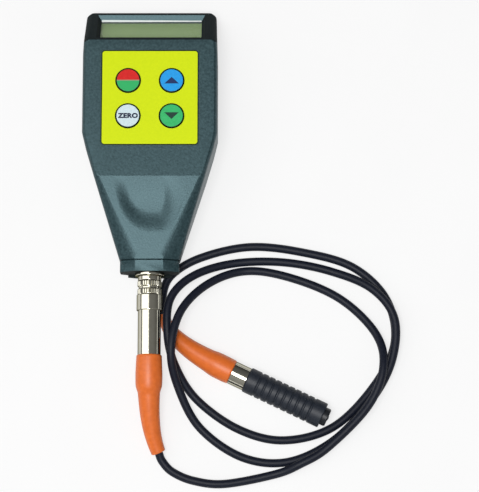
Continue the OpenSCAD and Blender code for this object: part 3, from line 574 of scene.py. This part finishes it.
def turned(profile, origin, along, sides=96, flutes=None, flute_count=32):
    """Rings of a piece turned about an axis: a profile's point (radius, place) lies at that place along the
    axis, and at the radius times the cosine and the sine of the ring's angle in two directions square to
    it. Flutes take off the radius a depth times the square of a wave's upper half."""
    profile = np.asarray(profile, float) * mm
    along = np.asarray(along, float)
    u = np.cross(along, [0, 0, 1]) if abs(along[2]) < 0.9 else np.array([1.0, 0, 0])
    w = np.cross(u, along)
    angle = np.linspace(0, 2 * np.pi, sides, endpoint=False)
    radii = np.repeat(profile[:, :1], sides, 1)
    if flutes is not None:
        radii = radii - flutes[:, None] * mm * np.maximum(np.cos(flute_count * angle), 0) ** 2
    turn = np.cos(angle)[:, None] * u + np.sin(angle)[:, None] * w
    return np.asarray(origin) * mm + profile[:, 1, None, None] * along + radii[:, :, None] * turn


key_top, key_round, rim_radius = 27.66, 0.3, 5.4 * mm
key_profile = [
    (1.2, 21.2), (2.6, 21.2), (2.6, 23.8), (7.0, 23.8), (7.0, 24.9), (5.7, 24.9), (5.7, key_top),
    (1.2, key_top),
]


def key(node, body, material, column, row):
    """One key: the cap's rings, filled at the foot and on top, so the profile's inner side is left out."""
    middle = (column * key_x / mm, (key_y + row * key_dy) / mm, 0)
    rows = turned(rounded(key_profile, key_round)[5:-6], middle, (0, 0, 1))
    piece = skin(node + "_skin", rows, body, material)
    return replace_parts(piece, node)


def dome(name, column, row):
    """The CAD dome under one key, the part of the node on the key's side of the panel's middle. The real
    dome flattens towards the board as the key goes down; this piece keeps the CAD's shape."""
    piece = smooth_copy("key_domes", "case", silicone)
    piece.name = name
    work = bmesh.new()
    work.from_mesh(piece.data)
    others = [v for v in work.verts if v.co.x * column < 0 or (v.co.y - key_y) * row < 0]
    bmesh.ops.delete(work, geom=others, context="VERTS")
    work.to_mesh(piece.data)
    work.free()
    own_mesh(piece)


def key_face(name, dark, light, column, row):
    """A key's surface, the sums on it, and the distances across and up from the key's middle."""
    material = surface(name, dark, light, 0.45, 700, shine=0.2)
    at = Place(material)
    across = at("SUBTRACT", at.x, column * key_x)
    up = at("SUBTRACT", at.y, key_y + row * key_dy)
    return material, at, across, up


def rim(at, across, up):
    """Dark ring of painted shade along the edge of a key's face, next to the gap round the key."""
    at.ink(at("GREATER_THAN", at.length(across, up), rim_radius), gap_shade)


def arrow(at, across, up, way, colour):
    """Triangle that points up or down: above its base, and nearer the middle than its sloping sides."""
    base, point, half_base = -1.6 * mm, 1.7 * mm, 3.5 * mm
    height = at("MULTIPLY", up, way)
    above = at("GREATER_THAN", height, base)
    reach = at("MULTIPLY", at("SUBTRACT", point, height), half_base / (point - base))
    within = at("GREATER_THAN", reach, at("ABSOLUTE", across))
    at.ink(at("MULTIPLY", above, within), colour)


green, middle_line = (0.030, 0.44, 0.13), 0.22 * mm
key_red, at, across, up = key_face("key_red", (0.62, 0.012, 0.010), (0.70, 0.016, 0.014), -1, 1)
at.ink(at("LESS_THAN", up, 0), green)
at.ink(at("LESS_THAN", at("ABSOLUTE", up), middle_line), (0.27, 0.32, 0.20))
rim(at, across, up)
key("power_key", "key_power", key_red, -1, 1)
dome("power_dome", -1, 1)
key_blue, at, across, up = key_face("key_blue", (0.012, 0.31, 0.76), (0.018, 0.36, 0.83), 1, 1)
arrow(at, across, up, 1, (0.010, 0.030, 0.120))
rim(at, across, up)
key("up_key", "key_up", key_blue, 1, 1)
dome("up_dome", 1, 1)
key_pale, at, across, up = key_face("key_pale", (0.59, 0.73, 0.78), (0.66, 0.80, 0.84), -1, -1)
rim(at, across, up)
key("zero_key", "key_zero", key_pale, -1, -1)
dome("zero_dome", -1, -1)
key_green, at, across, up = key_face("key_green", green, (0.044, 0.50, 0.16), 1, -1)
arrow(at, across, up, -1, (0.012, 0.050, 0.035))
rim(at, across, up)
key("down_key", "key_down", key_green, 1, -1)
dome("down_dome", 1, -1)

# The word on the pale key: flat letters, brought to their size and printed on its top.
word_size = np.array([9.7, 2.55, 0.03]) * mm
word_at = np.array([-key_x, key_y - key_dy, (key_top + 0.01) * mm])
letters = bpy.data.curves.new("letters", "FONT")
letters.body = "ZERO"
letters.extrude = 0.01
letters.offset = 0.06
letters.space_character = 1.08
letters.resolution_u = 6
shape = bpy.data.objects.new("letters", letters)
scene.collection.objects.link(shape)
drawn = bpy.data.meshes.new_from_object(shape.evaluated_get(bpy.context.evaluated_depsgraph_get()))
bpy.data.objects.remove(shape)
spots = np.zeros(len(drawn.vertices) * 3)
drawn.vertices.foreach_get("co", spots)
spots = spots.reshape(-1, 3)
low, high = spots.min(0), spots.max(0)
spots = (spots - (low + high) / 2) / (high - low) * word_size + word_at
drawn.vertices.foreach_set("co", spots.ravel())
letter_ink = surface("letter_ink", (0.014, 0.020, 0.050), (0.020, 0.028, 0.065), 0.5, 900, shine=0.2)
drawn.materials.clear()
drawn.materials.append(letter_ink)
word = bpy.data.objects.new("zero_word", drawn)
scene.collection.objects.link(word)
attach(word, "key_zero")


# Plug and socket: turned brass with bright nickel plate. The socket is held in the neck by a nut inside;
# the plug's sleeve, with two knurled bands, slides back on its barrel to let go.
nickel = surface(
    "nickel", (0.55, 0.53, 0.44), (0.61, 0.59, 0.50), 0.10, 300, metal=1, tint=(0.12, 0.12, 0.08)
)
brass = surface("nut_brass", (0.42, 0.28, 0.08), (0.52, 0.36, 0.12), 0.35, 700, metal=1)
insulator = surface("insulator", (0.014, 0.014, 0.016), (0.024, 0.024, 0.026), 0.5, 900, bump=0.1)
neck_end = (0, -65, 13.2)
back = (0, -1, 0)


def turned_piece(
    node, body, material, profile, reach, origin=neck_end, along=back, sides=96, flutes=None
):
    """A turned piece with soft edges in place of its CAD node."""
    rows = turned(rounded(profile, reach), origin, along, sides, flutes)
    piece = skin(node + "_skin", rows, body, material, loop=True)
    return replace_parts(piece, node)


turned_piece("socket_shell", "case", nickel, [
    (4.0, 3.8), (5.6, 3.8), (5.6, 1.75), (5.3, 1.55), (7.0, 1.55), (7.0, 0.05), (5.0, 0.05), (5.0, -9.9),
    (3.5, -9.9), (3.5, -7.0), (4.0, -7.0),
], 0.3)
sleeve_profile = [
    (4.68, 4.1), (5.8, 4.1), (5.8, 6.5), (5.2, 6.75), (5.2, 7.75), (5.8, 8.0), (5.8, 10.35), (5.5, 10.45),
    (6.15, 10.7), (6.15, 18.1), (5.58, 18.1), (5.58, 10.1), (4.68, 10.1),
]
sleeve_round, flute_depth = 0.22, 0.3
fine_sleeve = rounded(sleeve_profile, sleeve_round)
on_band = (fine_sleeve[:, 0] > 5.6) & (fine_sleeve[:, 1] < 10.4)
turned_piece(
    "plug_sleeve", "sleeve", nickel, sleeve_profile, sleeve_round, sides=384,
    flutes=flute_depth * on_band,
)
turned_piece("plug_barrel", "case", nickel, [
    (3.15, -3.0), (3.92, -3.0), (3.92, 4.1), (4.6, 4.15), (4.6, 11.9), (5.5, 11.9), (5.5, 47.3),
    (2.4, 47.3), (2.4, 10.1), (3.15, 10.1),
], 0.25)
paint("socket_nut", brass)
paint("socket_insert", insulator)
paint("plug_insert", insulator)
paint("socket_pins", gold)
paint("plug_contacts", gold)


# Boots: orange rubber moulded over the lead and stretched over the plug's barrel and the probe's collar.
# They keep the lead from kinking where it leaves the metal.
def boot(name, control, shares, radii, material, node):
    """Rings along the cubic curve of four control points; the radius runs through the given ones, evened
    out by a moving mean, and drops at both ends for a rounded edge."""
    t = np.concatenate([[0, 0.002, 0.006], np.linspace(0.012, 0.99, 110), [0.994, 0.998, 1]])
    q = t[:, None]
    p = np.asarray(control, float)
    path = (1 - q) ** 3 * p[0] + 3 * q * (1 - q) ** 2 * p[1] + 3 * q**2 * (1 - q) * p[2] + q**3 * p[3]
    r = np.interp(t, shares, radii)
    r = np.convolve(np.pad(r, 2, mode="edge"), np.ones(5) / 5, "valid")
    r[:3] -= [0.5, 0.25, 0.08]
    r[-3:] -= [0.12, 0.35, 0.8]
    piece = skin(name, swept(path * mm, r * mm, 48), "case", material, sharp=50)
    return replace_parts(piece, node)


orange = surface("boot_orange", (0.69, 0.138, 0.017), (0.78, 0.168, 0.023), 0.42, 500, bump=0.12)
first = lead_line[0] / mm
last = lead_line[-1] / mm
leave = (route[1] - route[0]) / np.linalg.norm(route[1] - route[0])
arrive = (route[-1] - route[-2]) / np.linalg.norm(route[-1] - route[-2])
plug_heel = np.array([0, -104.35, 13.2])
boot(
    "plug_boot_skin", [plug_heel, plug_heel + 20 * np.array(back), first - 14 * leave, first],
    [0, 0.05, 0.16, 0.25, 0.29, 0.32, 0.43, 0.64, 0.82, 1],
    [6.05, 6.2, 6.45, 6.4, 6.1, 5.35, 5.0, 4.45, 3.9, 3.45],
    orange, "plug_boot",
)
probe_at = np.array([46.6, -115.3, 6.25])
probe_turn = math.radians(-25.6)
probe_way = np.array([math.cos(probe_turn), math.sin(probe_turn), 0])
probe_heel = probe_at - 7.95 * probe_way
boot(
    "probe_boot_skin", [probe_heel, probe_heel - 16 * probe_way, last + 12 * arrive, last],
    [0, 0.06, 0.17, 0.21, 0.25, 0.5, 0.75, 1],
    [5.9, 6.1, 6.1, 5.85, 5.5, 4.5, 3.5, 2.6],
    orange, "probe_boot",
)


# Probe: a nickel tube with a ribbed rubber grip, and in its front a dark tip that is pressed in against a
# spring. The tip holds the sensor's coil and its hard core, which touches the coating.
grip_black = surface(
    "grip_black", (0.008, 0.012, 0.020), (0.015, 0.020, 0.031), 0.5, 1200, bump=0.2, shine=0.45
)
tip_dark = surface("tip_dark", (0.008, 0.010, 0.013), (0.014, 0.016, 0.021), 0.4, 900, bump=0.1, shine=0.4)
copper = surface("coil_copper", (0.40, 0.10, 0.02), (0.52, 0.15, 0.04), 0.35, 2000, metal=1)
core_steel = surface("core_steel", (0.46, 0.48, 0.50), (0.58, 0.60, 0.63), 0.25, 900, metal=1)
turned_piece("probe_tube", "case", nickel, [
    (2.2, -11.9), (5.05, -11.9), (5.05, -7.9), (5.65, -7.9), (5.65, -0.05), (5.2, -0.05), (5.2, 39.2),
    (4.48, 39.2), (4.48, 37.2), (4.83, 37.2), (4.83, 20.5), (2.2, 20.5),
], 0.2, probe_at, probe_way)
grip_radius, rib_depth, rib_half, rib_first, rib_step, rib_count = 6.2, 0.5, 0.5, 5.9, 3.45, 9
place = np.linspace(0.5, 39.5, 300)
rib_places = rib_first + rib_step * np.arange(rib_count)
rib_hollow = np.exp(-((place[:, None] - rib_places) / rib_half) ** 4).sum(1)
ribs = np.column_stack([grip_radius - rib_depth * rib_hollow, place])
ends = [(5.25, 40), (5.25, 0), (5.7, 0.0), (5.95, 0.08), (6.12, 0.25)]
far = [(6.12, 39.75), (5.95, 39.92), (5.7, 40.0)]
grip_rows = turned(np.vstack([ends, ribs, far]), probe_at, probe_way)
grip = skin("probe_grip_skin", grip_rows, "case", grip_black, loop=True)
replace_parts(grip, "probe_grip")
smooth_copy("probe_tip", "tip", tip_dark)
spring = smooth_copy("probe_spring", "case", spring_steel)
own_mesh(spring)
paint("sensor_coil", copper)
paint("sensor_core", core_steel)


# Stage: a pale table top, and a soft light from above, a little to the left and the neck's side.
# To the eye and to mirrors the table and the horizon are nearly white; the table keeps a soft shadow.
def seen(tree):
    """1 on rays from the eye, from glossy surfaces and through clear ones, else 0."""
    rays = tree.nodes.new("ShaderNodeLightPath")
    sum_up = rays.outputs["Is Camera Ray"]
    for name in ("Is Glossy Ray", "Is Transmission Ray"):
        sum_up = maths(tree, "MAXIMUM", sum_up, rays.outputs[name])
    return sum_up


table_pale = surface("table_pale", (0.86, 0.86, 0.86), (0.89, 0.89, 0.89), 0.8, 20, shine=0.1)
tree = table_pale.node_tree
white = tree.nodes.new("ShaderNodeEmission")
white_share = 0.7
top = tree.nodes.new("ShaderNodeMixShader")
tree.links.new(maths(tree, "MULTIPLY", seen(tree), white_share), top.inputs["Fac"])
tree.links.new(tree.nodes["Principled BSDF"].outputs["BSDF"], top.inputs[1])
tree.links.new(white.outputs["Emission"], top.inputs[2])
tree.links.new(top.outputs["Shader"], tree.nodes["Material Output"].inputs["Surface"])
table_half = 3
corners = [(x * table_half, y * table_half, 0) for x, y in ((-1, -1), (1, -1), (1, 1), (-1, 1))]
table = bpy.data.meshes.new("table")
table.from_pydata(corners, [], [(0, 1, 2, 3)])
table.materials.append(table_pale)
floor = bpy.data.objects.new("table", table)
scene.collection.objects.link(floor)


def lamp(name, power, size, place, aim):
    """Square soft light, its power in watts and its size in metres, turned so that its -Z axis points from
    its place at the aim."""
    data = bpy.data.lights.new(name, "AREA")
    data.energy = power
    data.size = size
    light = bpy.data.objects.new(name, data)
    light.location = place
    back = np.array(place, float) - np.array(aim, float)
    level = math.hypot(back[0], back[1])
    light.rotation_euler = (math.atan2(level, back[2]), 0, math.atan2(back[1], back[0]) + math.pi / 2)
    scene.collection.objects.link(light)


lamp("key_light", power=9.1, size=0.45, place=(-0.10, -0.27, 1.17), aim=(0.03, -0.05, 0))

# Sky: dim, brighter overhead and on the neck's side. On the left stands a bright band that the metal
# mirrors, and the horizon is white where it is seen.
world = bpy.data.worlds.new("studio")
scene.world = world
world.use_nodes = True
tree = world.node_tree
lighting = tree.nodes["Background"]
lighting.inputs["Color"].default_value = (1, 1, 1, 1)
direction = tree.nodes.new("ShaderNodeTexCoord")
axes = tree.nodes.new("ShaderNodeSeparateXYZ")
tree.links.new(direction.outputs["Generated"], axes.inputs["Vector"])
aim_x, aim_y, aim_z = (axes.outputs[k] for k in "XYZ")


def fade(source, start, end, low, high):
    """Smooth change from low to high while the source runs from start to end."""
    node = tree.nodes.new("ShaderNodeMapRange")
    node.interpolation_type = "SMOOTHSTEP"
    for name, value in (("From Min", start), ("From Max", end), ("To Min", low), ("To Max", high)):
        node.inputs[name].default_value = value
    tree.links.new(source, node.inputs["Value"])
    return node.outputs["Result"]


band_y, band_strength = 0.14, 2.0
off_band = maths(tree, "ABSOLUTE", maths(tree, "SUBTRACT", aim_y, band_y))
band = maths(tree, "MULTIPLY", fade(off_band, 0.20, 0.09, 0, band_strength), fade(aim_z, 0.22, 0.36, 0, 1))
band = maths(tree, "MULTIPLY", band, fade(aim_x, -0.02, -0.14, 0, 1))
sky = maths(tree, "ADD", fade(aim_y, 0.5, -0.5, 0.02, 0.30), fade(aim_z, 0.1, 0.9, 0.03, 0.12))
horizon = maths(tree, "MULTIPLY", fade(aim_z, 0.08, 0.02, 0, 1), seen(tree))
light_sum = maths(tree, "ADD", maths(tree, "ADD", band, sky), horizon)
tree.links.new(light_sum, lighting.inputs["Strength"])
scene.view_settings.view_transform = "Standard"
